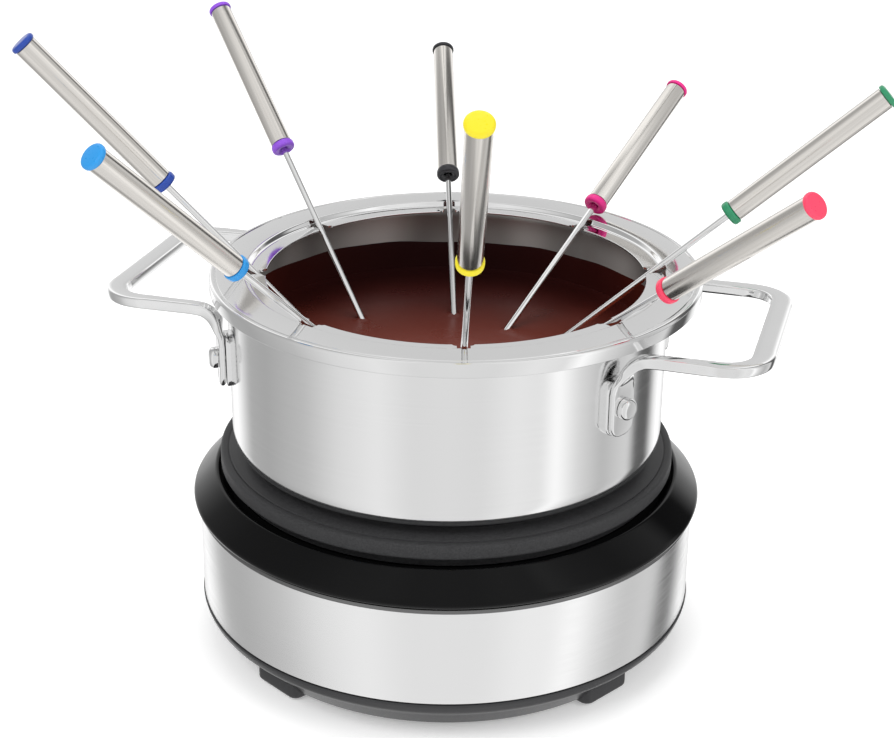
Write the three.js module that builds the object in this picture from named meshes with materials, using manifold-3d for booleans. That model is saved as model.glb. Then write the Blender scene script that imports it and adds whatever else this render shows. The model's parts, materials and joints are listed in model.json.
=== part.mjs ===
// Electric fondue pot set: heated base, steel pot of melted chocolate, fork ring and eight forks.
// Millimetres, +Z up. The origin is the centre of the base tray's flat underside, on the base's axis.
// Bearings are degrees from the front (-Y), turning towards +X.
import * as THREE from 'three';
import { mergeVertices } from 'three/addons/utils/BufferGeometryUtils.js';
import Module from 'manifold-3d';

// ---------------------------------------------------------------- driving dimensions
const CLEAR = 0.3; // gap kept between pieces that touch
const FACETS = 48; // facets round the large rings
const FINE = 10; // facets round the small round pieces
const BORE = 20; // facets round bores, the gland and the knob

const FOOT = {
  height: 10,
  pad: 0.8,
  padInset: 3.5, // how far the rubber pad stays inside the foot's edge
  inner: 76,
  outer: 94,
  halfWidth: 12.5,
  bearings: [44, 134, 224, 314],
};
const TRAY = {
  radius: 102.6,
  flatRadius: 84, // edge of the flat underside
  rim: -6.8,
  rimRadius: 91,
  floor: 3,
  wallOuter: 100.9,
  wallInner: 98.5,
  ledge: 8.9,
  top: 52,
};
const BAND = { radius: 102.2, thickness: 0.8, bead: 0.8, beadHeight: 1.8, top: 50.5 };
const SHOULDER = {
  bottom: 50.8,
  bulgeRadius: 104.7,
  bulge: 53.5,
  topRadius: 95.3,
  top: 63.6,
  skirt: 43,
  skirtWall: 2.2,
  flangeRadius: 85.4, // the hot plate's collar passes through this
  flangeBottom: 59.3,
  flangeTop: 61.3,
};
const PLATE = {
  radius: 93,
  top: 72.2,
  rim: 6.4,
  thickness: 8,
  seat: 61.6,
  collarRadius: 84,
  collarWall: 3,
  collarBottom: 57,
};
const SHIELD = { radius: 79, level: 47, height: 7, sheet: 1, postRadius: 3, postCircle: 66 };
const ELEMENT = { circle: 60, radius: 3.4, sweep: 300, drop: 16 };

const POT = {
  radius: 88,
  wall: 1.1,
  bottom: 74.6,
  floor: 75.9,
  corner: 7,
  flareStart: 139,
  lipRadius: 93.2,
  lipTop: 146.1,
};
const DISC = { radius: 79, bottom: 72.5 };
const CHOCOLATE_LEVEL = 114.3;

const RACK = {
  shift: 3.2, // the loose ring lies against one side of the pot's lip
  turn: 2, // bearing of its first notch
  innerRadius: 75.5,
  stepRadius: 83.6,
  step: 2,
  outerRadius: 97.8,
  skirt: 5.7,
  top: 147.2,
  sheet: 0.8,
  notches: 8,
  notchWidth: 5,
  notchEnd: 84,
  notchMiddle: 80,
};

const HANDLE = {
  bearings: { right: 74, left: -106 },
  level: 134.8, // middle of the bar's height
  thickness: 5,
  legWidth: 5.6,
  legOffset: 42.3, // from the handle's middle to the middle of a leg
  legInside: 79.6, // face of a leg towards the pot, along the handle's middle line
  gripWidth: 8.6,
  reach: 134, // outermost point of the grip, from the pot's axis
  cornerRadius: 17,
  padAngle: 28.6, // bearing of each pad from the handle's middle
  padWidth: 12.5,
  padBottom: 104.3,
  padTop: 126,
  padSheet: 2,
  plateSheet: 2.4,
};
const RIVET = { level: 115.8, headRadius: 4.3, headHeight: 3.3, shankRadius: 2 };

const FORK = {
  shaftRadius: 1.3,
  shaftLength: 137.5, // from the tips of the tines to the collar
  tineLength: 26,
  tineSpread: 6.2,
  tineWidth: 1.8,
  tineThickness: 1.6,
  yokeLength: 8,
  handleRadius: 4.45,
  handleWall: 0.5,
  handleLength: 77, // collar and cap included
  collarLength: 3.2,
  capLength: 2.2,
  trimRadius: 5,
  plugLength: 7,
  tipClearance: 0.9,
  restGap: 0.35,
};

// lean is the shaft's rise above the level; bearing is the way the handle points;
// drawn is how far the fork is held out of the pot by its collar on the ring
const FORKS = [
  { name: 'yellow', colour: 0xf7e61a, notch: 0, lean: 53.5, bearing: 2.2 },
  { name: 'red', colour: 0xf0476c, notch: 1, lean: 38.2, bearing: 44.7 },
  { name: 'green', colour: 0x2f9d6a, notch: 2, lean: 41, bearing: 85.9 },
  { name: 'pink', colour: 0xe0218a, notch: 3, lean: 30.8, bearing: 142.7, drawn: 3 },
  { name: 'black', colour: 0x26272b, notch: 4, lean: 33.6, bearing: 182.7 },
  { name: 'purple', colour: 0x8a4ccf, notch: 5, lean: 42.2, bearing: 214 },
  { name: 'blue', colour: 0x1f4aa0, notch: 6, lean: 48.9, bearing: 279.3 },
  { name: 'cyan', colour: 0x2ba8e0, notch: 7, lean: 43.5, bearing: 311.2 },
];

const KNOB = {
  bearing: 140,
  level: 29,
  radius: 15,
  depth: 13,
  socket: 4,
  fluteRadius: 2.6,
  dialRadius: 19,
  dialDepth: 2.6,
  shaft: 3,
  shaftEngagement: 13, // how far the shaft reaches into the thermostat
};
const THERMOSTAT = { width: 34, height: 26, from: -24, to: -6 };
const FUSE = { x: 34, radius: 3, halfLength: 9 };
const TERMINALS = {
  y: 52,
  width: 38,
  depth: 16,
  height: 14,
  spacing: 11.5,
  wellRadius: 2.6,
  wellFloor: 10,
};
const GLAND = {
  bearing: 180,
  level: 24,
  flange: 9.8,
  neck: 6.8,
  bore: 4.2,
  inside: 10,
  standOff: 2.2,
  depth: 2.5,
};

// ---------------------------------------------------------------- helpers
const wasm = await Module();
wasm.setup();

// A closed geometry as a manifold solid with its faces pointing out.
function solid(geometry) {
  const bare = geometry.index ? geometry.toNonIndexed() : geometry.clone();
  bare.deleteAttribute('normal');
  bare.deleteAttribute('uv');
  const welded = mergeVertices(bare, 1e-4);
  const position = welded.attributes.position.array;
  const corners = [];
  let volume = 0;
  for (let i = 0; i < welded.index.count; i += 3) {
    const [a, b, c] = [0, 1, 2].map((k) => welded.index.getX(i + k));
    if (a === b || b === c || c === a) continue;
    corners.push([a, b, c]);
    const [p, q, r] = [a, b, c].map((k) => new THREE.Vector3().fromArray(position, 3 * k));
    volume += p.dot(q.cross(r));
  }
  const facing = volume < 0 ? corners.map(([a, b, c]) => [a, c, b]) : corners;
  return new wasm.Manifold(
    new wasm.Mesh({
      numProp: 3,
      vertProperties: new Float32Array(position),
      triVerts: new Uint32Array(facing.flat()),
    }),
  );
}

function geometryOf(manifold) {
  const mesh = manifold.getMesh();
  const geometry = new THREE.BufferGeometry();
  geometry.setAttribute('position', new THREE.BufferAttribute(new Float32Array(mesh.vertProperties), 3));
  geometry.setIndex(new THREE.BufferAttribute(new Uint32Array(mesh.triVerts), 1));
  return geometry;
}

const union = (first, ...rest) => rest.reduce((sum, next) => sum.add(next), first);
const cut = (first, ...rest) => rest.reduce((left, next) => left.subtract(next), first);
const radians = THREE.MathUtils.degToRad;

// Unit vector that points outwards at a bearing.
function outward(bearing) {
  return new THREE.Vector3(Math.sin(radians(bearing)), -Math.cos(radians(bearing)), 0);
}

// A profile of [radius, height] points turned about Z; one that leaves the axis is closed on itself.
function turned(profile, facets = FACETS) {
  const points = profile.map(([r, z]) => new THREE.Vector2(r, z));
  const onAxis = profile[0][0] === 0 && profile[profile.length - 1][0] === 0;
  if (!onAxis) points.push(points[0].clone());
  return solid(new THREE.LatheGeometry(points, facets).rotateX(Math.PI / 2));
}

function rod(radius, from, to, facets = FINE) {
  return turned([[0, from], [radius, from], [radius, to], [0, to]], facets);
}

// An outline in XY pulled up along Z from one height to another.
function slab(shape, from, to, curveSegments = 5) {
  const options = { depth: to - from, bevelEnabled: false, curveSegments };
  const geometry = new THREE.ExtrudeGeometry(shape, options);
  return solid(geometry.translate(0, 0, from));
}

function roundedRectangle(width, height, radius) {
  const [x, y] = [width / 2, height / 2];
  const shape = new THREE.Shape();
  shape.moveTo(-x + radius, -y);
  shape.lineTo(x - radius, -y);
  shape.absarc(x - radius, -y + radius, radius, -Math.PI / 2, 0);
  shape.lineTo(x, y - radius);
  shape.absarc(x - radius, y - radius, radius, 0, Math.PI / 2);
  shape.lineTo(-x + radius, y);
  shape.absarc(-x + radius, y - radius, radius, Math.PI / 2, Math.PI);
  shape.lineTo(-x, -y + radius);
  shape.absarc(-x + radius, -y + radius, radius, Math.PI, 1.5 * Math.PI);
  return shape;
}

function moved(manifold, matrix) {
  return solid(geometryOf(manifold).applyMatrix4(matrix));
}

// Matrix that turns +X to a bearing about Z.
function turnedTo(bearing) {
  return new THREE.Matrix4().makeRotationZ(radians(bearing - 90));
}

// Matrix that stands +Z out along a bearing at a height, with +Y pointing up.
function standingOut(bearing, level, distance = 0) {
  const out = outward(bearing);
  const up = new THREE.Vector3(0, 0, 1);
  const side = new THREE.Vector3().crossVectors(up, out);
  const matrix = new THREE.Matrix4().makeBasis(side, up, out);
  return matrix.setPosition(out.multiplyScalar(distance).setZ(level));
}

const finishes = {
  steel: { color: 0xd2d4d6, roughness: 0.18, metalness: 1 },
  brushed: { color: 0xc9cac9, roughness: 0.35, metalness: 1 },
  cast: { color: 0x47484a, roughness: 0.6, metalness: 0.5 },
  blackGloss: { color: 0x0b0b0c, roughness: 0.12, metalness: 0 },
  blackMoulded: { color: 0x1c1d1f, roughness: 0.55, metalness: 0 },
  rubber: { color: 0x17181a, roughness: 0.9, metalness: 0 },
  tinned: { color: 0xa9abac, roughness: 0.4, metalness: 0.9 },
  sheath: { color: 0x6d6a66, roughness: 0.5, metalness: 0.8 },
  phenolic: { color: 0x3a2a20, roughness: 0.7, metalness: 0 },
  ceramic: { color: 0xe6e2d8, roughness: 0.7, metalness: 0 },
  chocolate: { color: 0x3d140b, roughness: 0.2, metalness: 0 },
};

function piece(name, manifold, finish) {
  const mesh = new THREE.Mesh(geometryOf(manifold), new THREE.MeshStandardMaterial(finish));
  mesh.name = name;
  return mesh;
}

// ---------------------------------------------------------------- heated base
const hole = (bearing, level, radius) =>
  moved(rod(radius, 0, 40, BORE), standingOut(bearing, level, TRAY.wallInner - 15));
const knobHole = hole(KNOB.bearing, KNOB.level, KNOB.shaft + 2);
const glandHole = hole(GLAND.bearing, GLAND.level, GLAND.neck + CLEAR);

// Middle of a foot under the tray, in plan.
function footPlan(bearing) {
  return turnedTo(bearing).setPosition(outward(bearing).multiplyScalar((FOOT.inner + FOOT.outer) / 2));
}

function baseTray() {
  const cup = turned([
    [0, 0],
    [TRAY.flatRadius, 0],
    [TRAY.flatRadius + 2, TRAY.rim],
    [TRAY.rimRadius - 1, TRAY.rim],
    [TRAY.rimRadius + 0.6, TRAY.rim + 0.8],
    [97, 1.6],
    [100.6, 3.8],
    [102.2, 6],
    [TRAY.radius, TRAY.ledge],
    [TRAY.wallOuter, TRAY.ledge],
    [TRAY.wallOuter, TRAY.top],
    [TRAY.wallInner, TRAY.top],
    [TRAY.wallInner, TRAY.floor + 5],
    [TRAY.wallInner - 5, TRAY.floor],
    [0, TRAY.floor],
  ]);
  const footShape = roundedRectangle(FOOT.outer - FOOT.inner, 2 * FOOT.halfWidth, 4);
  const foot = slab(footShape, FOOT.pad - FOOT.height, 1, 2);
  const feet = FOOT.bearings.map((bearing) => moved(foot, footPlan(bearing)));
  return cut(union(cup, ...feet), knobHole, glandHole);
}

function footPad(bearing) {
  const width = FOOT.outer - FOOT.inner - 2 * FOOT.padInset;
  const shape = roundedRectangle(width, 2 * (FOOT.halfWidth - FOOT.padInset), 2.5);
  return moved(slab(shape, -FOOT.height, FOOT.pad - FOOT.height - CLEAR, 2), footPlan(bearing));
}

function steelBand() {
  const bottom = TRAY.ledge + CLEAR;
  const inner = BAND.radius - BAND.thickness;
  const ring = turned([
    [inner, bottom],
    [BAND.radius, bottom],
    [BAND.radius, BAND.top - BAND.beadHeight],
    [BAND.radius + BAND.bead, BAND.top - BAND.beadHeight],
    [BAND.radius + BAND.bead, BAND.top],
    [inner, BAND.top],
  ]);
  return cut(ring, knobHole, glandHole);
}

// Conical cover with a groove under it that the tray's wall stands in.
function shoulderCover() {
  const { bottom, bulgeRadius, bulge, topRadius, top, skirt, skirtWall } = SHOULDER;
  const { flangeRadius, flangeBottom, flangeTop } = SHOULDER;
  const grooveOuter = TRAY.wallOuter + CLEAR;
  const grooveInner = TRAY.wallInner - CLEAR;
  const skirtInner = grooveInner - skirtWall;
  return turned([
    [flangeRadius, flangeBottom],
    [flangeRadius, flangeTop],
    [topRadius - 2.1, flangeTop],
    [topRadius - 1.4, top],
    [topRadius, top],
    [bulgeRadius - 0.4, bulge + 1],
    [bulgeRadius, bulge],
    [bulgeRadius - 0.5, bulge - 1.6],
    [bulgeRadius - 2, bottom],
    [grooveOuter, bottom],
    [grooveOuter, TRAY.top + 3.5],
    [grooveInner, TRAY.top + 5.5],
    [grooveInner, skirt],
    [skirtInner, skirt],
    [skirtInner, flangeBottom],
  ]);
}

function hotPlate() {
  const { radius, top, rim, collarRadius, collarBottom, seat, thickness, collarWall } = PLATE;
  return turned([
    [0, top],
    [radius - 1, top],
    [radius, top - 1],
    [radius, top - rim + 0.8],
    [radius - 0.8, top - rim],
    [collarRadius + 5, top - rim],
    [collarRadius + 5, seat],
    [collarRadius, seat],
    [collarRadius, collarBottom],
    [collarRadius - collarWall, collarBottom],
    [collarRadius - collarWall, top - thickness],
    [0, top - thickness],
  ]);
}

// Sheathed ring under the plate whose two cold ends turn down to the wiring.
function heatingElement() {
  const level = PLATE.top - PLATE.thickness - 4 * CLEAR - ELEMENT.radius;
  const half = ELEMENT.sweep / 2;
  const start = outward(180 - half).multiplyScalar(ELEMENT.circle);
  const points = [new THREE.Vector3(start.x, start.y, level - ELEMENT.drop)];
  points.push(new THREE.Vector3(start.x, start.y, level - 5));
  for (let turn = -half + 8; turn <= half - 8; turn += 14.2) {
    const spot = outward(180 + turn).multiplyScalar(ELEMENT.circle);
    points.push(new THREE.Vector3(spot.x, spot.y, level));
  }
  const end = outward(180 + half).multiplyScalar(ELEMENT.circle);
  points.push(new THREE.Vector3(end.x, end.y, level - 5));
  points.push(new THREE.Vector3(end.x, end.y, level - ELEMENT.drop));
  const section = new THREE.Shape().absarc(0, 0, ELEMENT.radius, 0, 2 * Math.PI);
  const path = new THREE.CatmullRomCurve3(points, false, 'centripetal');
  return solid(new THREE.ExtrudeGeometry(section, { steps: 40, extrudePath: path, curveSegments: 4 }));
}

// Sheet dish that turns the heat up, on three posts that stand on the tray's floor.
function heatShield() {
  const { radius, level, height, sheet, postRadius, postCircle } = SHIELD;
  const dish = turned([
    [0, level],
    [radius, level],
    [radius, level + height],
    [radius - sheet, level + height],
    [radius - sheet, level + sheet],
    [0, level + sheet],
  ]);
  const leads = [-1, 1].map((side) => {
    const spot = outward(180 + (side * ELEMENT.sweep) / 2).multiplyScalar(ELEMENT.circle);
    return moved(rod(ELEMENT.radius + 1, level - 2, level + 4), new THREE.Matrix4().setPosition(spot));
  });
  const posts = [0, 120, 240].map((bearing) => {
    const spot = outward(bearing).multiplyScalar(postCircle);
    return moved(rod(postRadius, TRAY.floor + CLEAR, level + 0.5), new THREE.Matrix4().setPosition(spot));
  });
  return union(cut(dish, ...leads), ...posts);
}

function cordGland() {
  const flangeBack = BAND.radius - TRAY.wallInner + GLAND.standOff;
  const mouth = flangeBack + GLAND.depth;
  const collar = turned([
    [GLAND.bore, -GLAND.inside],
    [GLAND.neck, -GLAND.inside],
    [GLAND.neck, flangeBack],
    [GLAND.flange, flangeBack],
    [GLAND.flange - 1, mouth],
    [GLAND.bore, mouth],
  ], BORE);
  return moved(collar, standingOut(GLAND.bearing, GLAND.level, TRAY.wallInner));
}

function dialRing() {
  const ring = turned([
    [KNOB.shaft + 1.5, -4],
    [KNOB.dialRadius, -4],
    [KNOB.dialRadius, KNOB.dialDepth - 0.8],
    [KNOB.dialRadius - 0.8, KNOB.dialDepth],
    [KNOB.shaft + 1.5, KNOB.dialDepth],
  ], BORE);
  const placed = moved(ring, standingOut(KNOB.bearing, KNOB.level, BAND.radius));
  return cut(placed, rod(BAND.radius + CLEAR, -20, 80, 2 * FACETS));
}

function thermostat() {
  const { width, height, from, to } = THERMOSTAT;
  const body = slab(roundedRectangle(width, height, 2), from, to, 2);
  const bore = rod(KNOB.shaft + CLEAR, -KNOB.shaftEngagement - 1, 0, BORE);
  return moved(cut(body, bore), standingOut(KNOB.bearing, KNOB.level, TRAY.wallInner));
}

function thermalFuse() {
  const { x, radius, halfLength } = FUSE;
  const narrow = radius - 0.8;
  const upper = [[radius, halfLength - 1], [narrow, halfLength], [0, halfLength]];
  const lower = upper.map(([r, z]) => [r, -z]).reverse();
  const capsule = turned([...lower, ...upper], FINE);
  const level = PLATE.top - PLATE.thickness - 2 * CLEAR - radius;
  const lying = new THREE.Matrix4().makeRotationX(Math.PI / 2).setPosition(x, 0, level);
  return moved(capsule, lying);
}

function terminalBlock() {
  const { y, width, depth, height, spacing, wellRadius, wellFloor } = TERMINALS;
  const top = TRAY.floor + height;
  const block = slab(roundedRectangle(width, depth, 1.5), TRAY.floor + CLEAR, top, 2);
  const wells = [-spacing, 0, spacing].map((x) =>
    moved(rod(wellRadius, wellFloor, top + 3), new THREE.Matrix4().setPosition(x, 0, 0)),
  );
  return moved(cut(block, ...wells), new THREE.Matrix4().setPosition(0, y, 0));
}

function knob() {
  const start = KNOB.dialDepth + 1;
  const grip = turned([
    [0, start + KNOB.socket],
    [KNOB.shaft + 2, start + KNOB.socket],
    [KNOB.shaft + 2, start],
    [KNOB.radius, start],
    [KNOB.radius, start + 3],
    [KNOB.radius - 1.6, start + KNOB.depth - 1.5],
    [KNOB.radius - 3, start + KNOB.depth],
    [0, start + KNOB.depth],
  ], BORE);
  const flutes = Array.from({ length: 10 }, (_, k) => {
    const spot = outward(36 * k + 18).multiplyScalar(KNOB.radius + KNOB.fluteRadius - 1);
    const flute = rod(KNOB.fluteRadius, start + 2.4, start + KNOB.depth + 2);
    return moved(flute, new THREE.Matrix4().setPosition(spot));
  });
  const pointer = slab(roundedRectangle(2, 11, 0.8), start + KNOB.depth - 1, start + KNOB.depth + 0.8, 3);
  const up = new THREE.Matrix4().setPosition(0, 6, 0);
  const whole = union(cut(grip, ...flutes), moved(pointer, up));
  return moved(whole, standingOut(KNOB.bearing, KNOB.level, BAND.radius));
}

function knobShaft() {
  const from = TRAY.wallInner - KNOB.shaftEngagement - BAND.radius;
  const stem = rod(KNOB.shaft, from, KNOB.dialDepth + KNOB.socket + 0.6, BORE);
  return moved(stem, standingOut(KNOB.bearing, KNOB.level, BAND.radius));
}

// ---------------------------------------------------------------- pot
// Flat pad of sheet that stands between two distances from the axis, with a hole for its rivet.
function wallPad(bearing, from, to) {
  const height = HANDLE.padTop - HANDLE.padBottom;
  const plate = slab(roundedRectangle(HANDLE.padWidth, height, 4), from, to, 2);
  const drilled = cut(moved(plate, new THREE.Matrix4().setPosition(0, HANDLE.padBottom + height / 2, 0)),
    moved(rod(RIVET.shankRadius + CLEAR, 80, 100), new THREE.Matrix4().setPosition(0, RIVET.level, 0)));
  return moved(drilled, standingOut(bearing, 0));
}

const padBearings = Object.values(HANDLE.bearings).flatMap((middle) => [
  middle - HANDLE.padAngle,
  middle + HANDLE.padAngle,
]);

function potShell() {
  const { radius, wall, bottom, floor, corner, flareStart, lipRadius, lipTop } = POT;
  const inner = radius - wall;
  const shell = turned([
    [0, bottom],
    [radius - corner, bottom],
    [radius - 3.6, bottom + 1],
    [radius - 1.1, bottom + 3.5],
    [radius - 0.3, bottom + corner],
    [radius, flareStart],
    [radius + 0.6, flareStart + 3.4],
    [radius + 2.2, flareStart + 5.4],
    [lipRadius, lipTop - wall],
    [lipRadius, lipTop],
    [radius + 1.6, lipTop - 0.5],
    [inner + 0.8, flareStart + 4.4],
    [inner, flareStart + 0.6],
    [inner - 0.3, bottom + corner],
    [inner - 1, bottom + 4.3],
    [inner - 3.2, floor + 1],
    [inner - 6.4, floor],
    [0, floor],
  ]);
  const reach = radius + HANDLE.padSheet;
  const pads = padBearings.map((bearing) => wallPad(bearing, radius - 0.9, reach));
  return union(shell, ...pads);
}

function potBaseDisc() {
  const { radius, bottom } = DISC;
  const top = POT.bottom - CLEAR;
  return turned([[0, bottom], [radius - 1, bottom], [radius, bottom + 0.8], [radius, top], [0, top]]);
}

// Outline of the bar seen from above, from one leg round the grip to the other, +X outwards.
function barOutline(start) {
  const { legWidth, legOffset, gripWidth, reach, cornerRadius } = HANDLE;
  const [outer, inner] = [legOffset + legWidth / 2, legOffset - legWidth / 2];
  const innerCorner = cornerRadius - gripWidth + 1;
  const gripInside = reach - gripWidth;
  const shape = new THREE.Shape();
  shape.moveTo(start, -outer);
  shape.lineTo(reach - cornerRadius, -outer);
  shape.absarc(reach - cornerRadius, -outer + cornerRadius, cornerRadius, -Math.PI / 2, 0);
  shape.lineTo(reach, outer - cornerRadius);
  shape.absarc(reach - cornerRadius, outer - cornerRadius, cornerRadius, 0, Math.PI / 2);
  shape.lineTo(start, outer);
  shape.lineTo(start, inner);
  shape.lineTo(gripInside - innerCorner, inner);
  shape.absarc(gripInside - innerCorner, inner - innerCorner, innerCorner, Math.PI / 2, 0, true);
  shape.lineTo(gripInside, -inner + innerCorner);
  shape.absarc(gripInside - innerCorner, -inner + innerCorner, innerCorner, 0, -Math.PI / 2, true);
  shape.lineTo(start, -inner);
  return shape;
}

// Side view of a leg's end: up from its plate, then over into the level bar; X outwards, Y up.
function legBend() {
  const half = HANDLE.thickness / 2;
  const [inside, outside] = [HANDLE.legInside, HANDLE.legInside + 4];
  const [over, under] = [HANDLE.level + half, HANDLE.level - half];
  const shape = new THREE.Shape();
  shape.moveTo(inside, HANDLE.padTop - 4);
  shape.lineTo(outside, HANDLE.padTop - 4);
  shape.lineTo(outside, under - 6);
  shape.quadraticCurveTo(outside, under, outside + 6, under);
  shape.lineTo(outside + 10, under);
  shape.lineTo(outside + 10, over);
  shape.lineTo(inside + 8, over);
  shape.quadraticCurveTo(inside, over, inside, under - 4);
  return shape;
}

function potHandle(middle) {
  const half = HANDLE.thickness / 2;
  const bar = slab(barOutline(HANDLE.legInside + 12.4), HANDLE.level - half, HANDLE.level + half);
  const bend = slab(legBend(), -HANDLE.legWidth / 2, HANDLE.legWidth / 2, 6);
  const bends = [-1, 1].map((side) => {
    const upright = new THREE.Matrix4().makeRotationX(Math.PI / 2);
    return moved(bend, upright.setPosition(0, side * HANDLE.legOffset, 0));
  });
  const placed = moved(union(bar, ...bends), turnedTo(middle));
  const from = POT.radius + HANDLE.padSheet + CLEAR;
  const plates = [-1, 1].map((side) =>
    wallPad(middle + side * HANDLE.padAngle, from, from + HANDLE.plateSheet),
  );
  const potSide = rod(from + CLEAR, 90, HANDLE.padTop + 1, 2 * FACETS);
  return union(cut(placed, potSide), ...plates);
}

function rivet(bearing) {
  const seat = POT.radius + HANDLE.padSheet + HANDLE.plateSheet + 2 * CLEAR;
  const { headRadius, headHeight, shankRadius } = RIVET;
  const profile = [
    [0, POT.radius + CLEAR],
    [shankRadius, POT.radius + CLEAR],
    [shankRadius, seat],
    [headRadius, seat],
    [headRadius, seat + headHeight - 1.2],
    [headRadius - 1.2, seat + headHeight],
    [0, seat + headHeight],
  ];
  return moved(turned(profile, FINE), standingOut(bearing, RIVET.level));
}

// ---------------------------------------------------------------- fork ring
function forkRack() {
  const { innerRadius, stepRadius, step, outerRadius, skirt, top, sheet } = RACK;
  const low = top - step;
  const ring = turned([
    [innerRadius, low - sheet],
    [innerRadius, low],
    [stepRadius - 1.2, low],
    [stepRadius, top],
    [outerRadius - 0.9, top],
    [outerRadius - 0.2, top - 0.3],
    [outerRadius, top - 1],
    [outerRadius, top - skirt],
    [outerRadius - sheet, top - skirt],
    [outerRadius - sheet, top - 1.2],
    [outerRadius - sheet - 0.5, top - sheet],
    [stepRadius + 0.6, top - sheet],
    [stepRadius - 0.6, low - sheet],
  ]);
  const { notchWidth, notchEnd, notches } = RACK;
  const half = notchWidth / 2;
  const mouth = 1.6;
  const shape = new THREE.Shape();
  shape.moveTo(innerRadius - 4, -half - mouth);
  shape.lineTo(innerRadius - 0.2, -half - mouth);
  shape.absarc(innerRadius + mouth - 0.2, -half - mouth, mouth, Math.PI, Math.PI / 2, true);
  shape.lineTo(notchEnd - 1, -half);
  shape.absarc(notchEnd - 1, -half + 1, 1, -Math.PI / 2, 0);
  shape.absarc(notchEnd - 1, half - 1, 1, 0, Math.PI / 2);
  shape.lineTo(innerRadius + mouth - 0.2, half);
  shape.absarc(innerRadius + mouth - 0.2, half + mouth, mouth, -Math.PI / 2, -Math.PI, true);
  shape.lineTo(innerRadius - 4, half + mouth);
  const notch = slab(shape, low - 5, top + 5, 2);
  const cuts = Array.from({ length: notches }, (_, k) =>
    moved(notch, turnedTo(RACK.turn + (360 / notches) * k)),
  );
  return moved(cut(ring, ...cuts), new THREE.Matrix4().setPosition(RACK.shift, 0, 0));
}

// ---------------------------------------------------------------- forks
// Where a fork lies: its tip, the way its shaft points, and the sideways direction of its tines.
function forkPose({ notch, lean, bearing, drawn = 0 }) {
  const rise = radians(lean);
  const level = outward(bearing);
  const along = level.clone().multiplyScalar(Math.cos(rise)).setZ(Math.sin(rise));
  const spread = level.clone().multiplyScalar(-Math.sin(rise)).setZ(Math.cos(rise));
  const crossing = outward(RACK.turn + (360 / RACK.notches) * notch).multiplyScalar(RACK.notchMiddle);
  const lift = (FORK.shaftRadius + FORK.restGap) / Math.cos(rise);
  crossing.x += RACK.shift;
  crossing.z = RACK.top + lift - (RACK.notchEnd - RACK.notchMiddle) * Math.tan(rise);
  const tipLevel = POT.floor + FORK.tipClearance + (FORK.tineSpread / 2) * Math.cos(rise);
  const inside = (crossing.z - tipLevel) / Math.sin(rise);
  const tip = crossing.clone().addScaledVector(along, drawn - inside);
  return { tip, along, spread };
}

// Two pointed tines and their yoke as one flat blade, with the round shaft rising from it.
function forkShaft() {
  const { tineLength, tineSpread, tineWidth, yokeLength, shaftRadius } = FORK;
  const outer = tineSpread / 2;
  const inner = outer - tineWidth;
  const blade = new THREE.Shape();
  blade.moveTo(-outer, 4);
  blade.lineTo(-outer + tineWidth * 0.35, 0);
  blade.lineTo(-inner, 3);
  blade.lineTo(-inner, tineLength - inner);
  blade.absarc(0, tineLength - inner, inner, Math.PI, 0, true);
  blade.lineTo(inner, 3);
  blade.lineTo(outer - tineWidth * 0.35, 0);
  blade.lineTo(outer, 4);
  blade.lineTo(outer, tineLength - 2);
  blade.quadraticCurveTo(outer, tineLength + 2, shaftRadius, tineLength + yokeLength);
  blade.lineTo(-shaftRadius, tineLength + yokeLength);
  blade.quadraticCurveTo(-outer, tineLength + 2, -outer, tineLength - 2);
  const flat = slab(blade, -FORK.tineThickness / 2, FORK.tineThickness / 2, 4);
  const upright = moved(flat, new THREE.Matrix4().makeRotationX(Math.PI / 2));
  const stem = rod(shaftRadius, tineLength + 2, FORK.shaftLength + FORK.collarLength + 4);
  return union(upright, stem);
}

function forkHandle() {
  const from = FORK.shaftLength + FORK.collarLength + CLEAR;
  const to = FORK.shaftLength + FORK.handleLength - FORK.capLength - CLEAR;
  const inner = FORK.handleRadius - FORK.handleWall;
  return turned([[inner, from], [FORK.handleRadius, from], [FORK.handleRadius, to], [inner, to]], FINE);
}

// Coloured collar that the shaft passes through, with a spigot inside the handle tube.
function forkCollar() {
  const start = FORK.shaftLength;
  const seat = start + FORK.collarLength;
  const bore = FORK.shaftRadius + CLEAR;
  const spigot = FORK.handleRadius - FORK.handleWall - CLEAR;
  return turned([
    [bore, start + 1],
    [bore + 1.6, start],
    [FORK.trimRadius - 0.8, start],
    [FORK.trimRadius, start + 0.8],
    [FORK.trimRadius, seat - 0.4],
    [FORK.handleRadius, seat],
    [spigot, seat],
    [spigot, seat + FORK.plugLength],
    [bore, seat + FORK.plugLength],
  ], FINE);
}

function forkCap() {
  const end = FORK.shaftLength + FORK.handleLength;
  const seat = end - FORK.capLength;
  const spigot = FORK.handleRadius - FORK.handleWall - CLEAR;
  return turned([
    [0, seat - FORK.plugLength],
    [spigot, seat - FORK.plugLength],
    [spigot, seat],
    [FORK.trimRadius, seat],
    [FORK.trimRadius, end - 0.9],
    [FORK.trimRadius - 1.2, end - 0.2],
    [0, end],
  ], FINE);
}

function fork(details) {
  const { tip, along, spread } = forkPose(details);
  const group = new THREE.Group();
  const thickness = new THREE.Vector3().crossVectors(along, spread);
  const basis = new THREE.Matrix4().makeBasis(spread, thickness, along);
  group.position.copy(tip);
  group.quaternion.setFromRotationMatrix(basis);
  const trim = { color: details.colour, roughness: 0.35, metalness: 0 };
  group.add(piece(`fork_${details.name}_tines`, forkShaft(), finishes.steel));
  group.add(piece(`fork_${details.name}_collar`, forkCollar(), trim));
  group.add(piece(`fork_${details.name}_handle`, forkHandle(), finishes.brushed));
  group.add(piece(`fork_${details.name}_cap`, forkCap(), trim));
  return group;
}

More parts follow.
